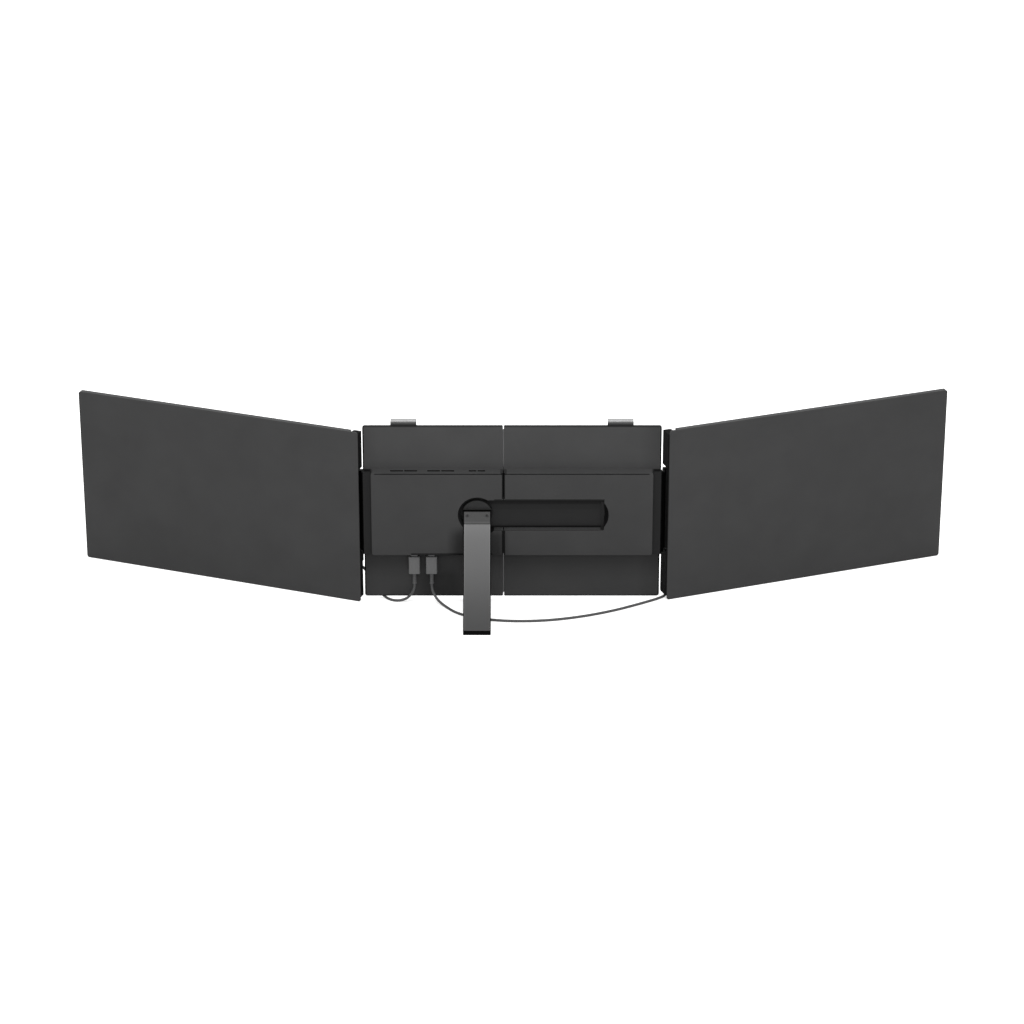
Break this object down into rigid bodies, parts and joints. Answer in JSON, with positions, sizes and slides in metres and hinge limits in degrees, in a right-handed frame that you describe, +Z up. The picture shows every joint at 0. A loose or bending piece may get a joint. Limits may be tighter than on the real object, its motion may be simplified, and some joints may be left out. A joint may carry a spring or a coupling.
{
  "type": "laptop screen extender",
  "caption": "Back plate that clips on a laptop's lid and telescopes, with hinged portable screens at its ends, a fold-out stand and short leads",
  "frame": {"origin": "on the table, under the middle of the object's box without its leads", "axes": "+Z up, +Y towards the person who reads the screens, +X to the right seen from behind the lid"},
  "size_m": [0.9442, 0.205, 0.2078],
  "materials": {
    "plate_shell": "fine matt texture",
    "plate_front": "fine matt texture",
    "band_shell": "fine matt texture",
    "arm_black": "satin black",
    "bush_bronze": "turned",
    "screw_steel": "dark zinc",
    "pad_rubber": "matt",
    "clip_grey": "satin grey",
    "spring_steel": "drawn wire",
    "cover_grey": "fine matt texture",
    "bezel_black": "matt black",
    "screen_matt": "anti-glare",
    "lcd_metal": "plain sheet",
    "board_green": "solder mask",
    "spine_black": "satin black",
    "pin_steel": "ground",
    "grommet_black": "matt",
    "button_grey": "satin",
    "plug_grey": "satin",
    "tip_metal": "nickel",
    "relief_grey": "matt",
    "lead_grey": "satin jacket",
    "bridge_grey": "anodised",
    "rail_steel": "plain",
    "guide_plastic": "moulded",
    "tray_grey": "fine matt texture",
    "floor_grey": "fine matt texture",
    "hub_grey": "satin",
    "bracket_grey": "satin grey",
    "leg_grey": "satin grey",
    "foot_rubber": "matt"
  },
  "bodies": {
    "left_half": {"left_rear_shell": "plate_shell", "left_front_plate": "plate_front", "left_band_cover": "band_shell", "left_hinge_arm": "arm_black", "left_hinge_bushes": "bush_bronze", "left_screws": "screw_steel", "left_lid_pads": "pad_rubber", "bridge_plate": "bridge_grey", "slide_rails": "rail_steel", "stand_tray": "tray_grey", "main_board": "board_green", "usb_sockets": "tip_metal", "left_plug": "plug_grey", "left_plug_tip": "tip_metal", "left_strain_relief": "relief_grey", "left_lead": "lead_grey", "right_plug": "plug_grey", "right_plug_tip": "tip_metal", "right_strain_relief": "relief_grey", "right_lead": "lead_grey"},
    "right_half": {"right_rear_shell": "plate_shell", "right_front_plate": "plate_front", "right_band_cover": "band_shell", "right_hinge_arm": "arm_black", "right_hinge_bushes": "bush_bronze", "right_screws": "screw_steel", "right_lid_pads": "pad_rubber", "slide_guides": "guide_plastic", "slot_floor": "floor_grey"},
    "stand_hub": {"hub_disc": "hub_grey", "hub_washer": "spring_steel", "hub_bolt": "screw_steel", "stand_bracket": "bracket_grey", "bracket_screws": "screw_steel", "leg_pin": "pin_steel"},
    "stand_leg": {"stand_leg": "leg_grey", "stand_foot": "foot_rubber"},
    "left_clip": {"left_clip": "clip_grey", "left_clip_spring": "spring_steel"},
    "left_screen": {"left_screen_cover": "cover_grey", "left_screen_frame": "bezel_black", "left_screen_glass": "screen_matt", "left_lcd_module": "lcd_metal", "left_driver_board": "board_green", "left_spine": "spine_black", "left_hinge_pin": "pin_steel", "left_grommet": "grommet_black"},
    "left_button": {"left_power_button": "button_grey"},
    "right_clip": {"right_clip": "clip_grey", "right_clip_spring": "spring_steel"},
    "right_screen": {"right_screen_cover": "cover_grey", "right_screen_frame": "bezel_black", "right_screen_glass": "screen_matt", "right_lcd_module": "lcd_metal", "right_driver_board": "board_green", "right_spine": "spine_black", "right_hinge_pin": "pin_steel", "right_grommet": "grommet_black"},
    "right_button": {"right_power_button": "button_grey"}
  },
  "joints": [
    {"name": "plate_extend", "type": "slide", "parent": "left_half", "child": "right_half", "axis": [1, 0, 0], "range_m": [0, 0.05], "deforming": ["right_lead"]},
    {"name": "left_screen_fold", "type": "hinge", "parent": "left_half", "child": "left_screen", "pos_m": [-0.16618, -0.01263, 0.105], "axis": [0, 0, -1], "range_deg": [-20.4, 159.6], "deforming": ["left_lead"]},
    {"name": "right_screen_fold", "type": "hinge", "parent": "right_half", "child": "right_screen", "pos_m": [0.16537, -0.00738, 0.105], "axis": [0, 0, 1], "range_deg": [-20.4, 159.6], "deforming": ["right_lead"]},
    {"name": "stand_turn", "type": "hinge", "parent": "left_half", "child": "stand_hub", "pos_m": [-0.03853, -0.01943, 0.105], "axis": [0, -1, 0], "range_deg": [0, 90]},
    {"name": "leg_swing", "type": "hinge", "parent": "stand_hub", "child": "stand_leg", "pos_m": [-0.03853, -0.02418, 0.0932], "axis": [-1, 0, 0], "range_deg": [-8, 10]},
    {"name": "left_clip_pull", "type": "slide", "parent": "left_half", "child": "left_clip", "axis": [0, 0, 1], "range_m": [0, 0.03], "stiffness_N_per_m": 100, "springref_m": -0.01, "deforming": ["left_clip_spring"]},
    {"name": "left_button_press", "type": "slide", "parent": "left_screen", "child": "left_button", "axis": [0.9373, -0.3486, 0], "range_m": [0, 0.0005], "stiffness_N_per_m": 300},
    {"name": "right_clip_pull", "type": "slide", "parent": "right_half", "child": "right_clip", "axis": [0, 0, 1], "range_m": [0, 0.03], "stiffness_N_per_m": 100, "springref_m": -0.01, "deforming": ["right_clip_spring"]},
    {"name": "right_button_press", "type": "slide", "parent": "right_screen", "child": "right_button", "axis": [-0.9373, -0.3486, 0], "range_m": [0, 0.0005], "stiffness_N_per_m": 300}
  ]
}
